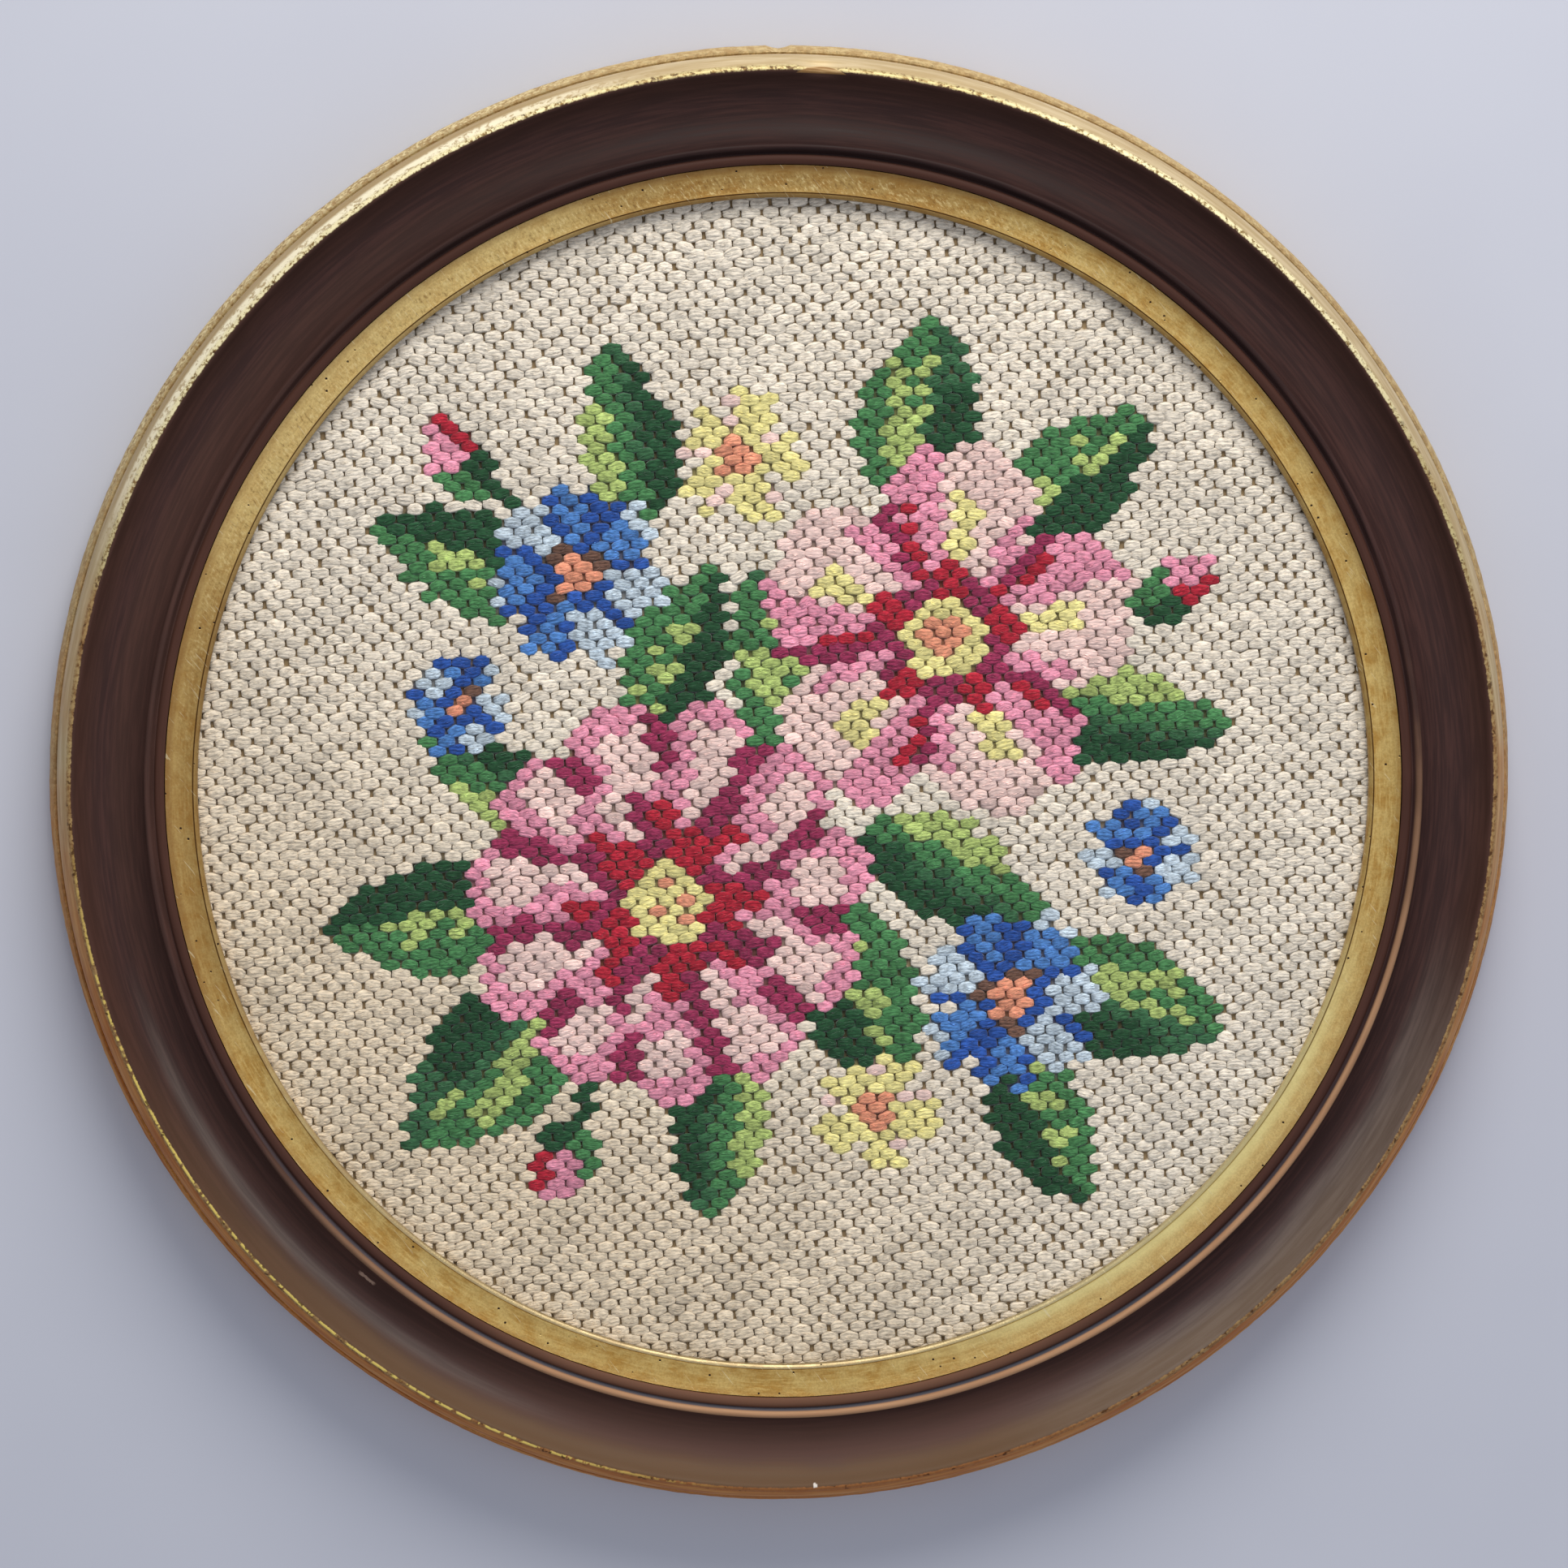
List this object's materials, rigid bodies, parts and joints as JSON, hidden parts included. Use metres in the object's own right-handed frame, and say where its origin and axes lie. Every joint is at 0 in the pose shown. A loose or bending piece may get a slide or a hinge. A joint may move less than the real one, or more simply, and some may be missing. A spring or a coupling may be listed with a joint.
{
  "type": "round needlepoint in a turned wooden frame",
  "caption": "Round stitched wool canvas with a flower posy, held flat behind a gilt liner in a dark turned wooden frame with a gilded edge and a plain backing board.",
  "frame": {"origin": "centre of the frame's flat back, with the object lying on its back", "axes": "+Z out of the picture, +Y to the picture's top, +X to the picture's right"},
  "size_m": [0.2606, 0.2606, 0.0167],
  "materials": {
    "frame": "turned wood, stained dark brown and waxed, with a gilded outer side and crest",
    "gilding": "worn gold leaf over a red-brown ground",
    "wool": "wool tent stitch on cotton canvas, cream ground with coloured flowers",
    "board": "raw brown board, matt"
  },
  "bodies": {
    "root": {"frame_moulding": "frame", "sight_liner": "gilding", "needlework": "wool", "backing_board": "board"}
  },
  "joints": []
}
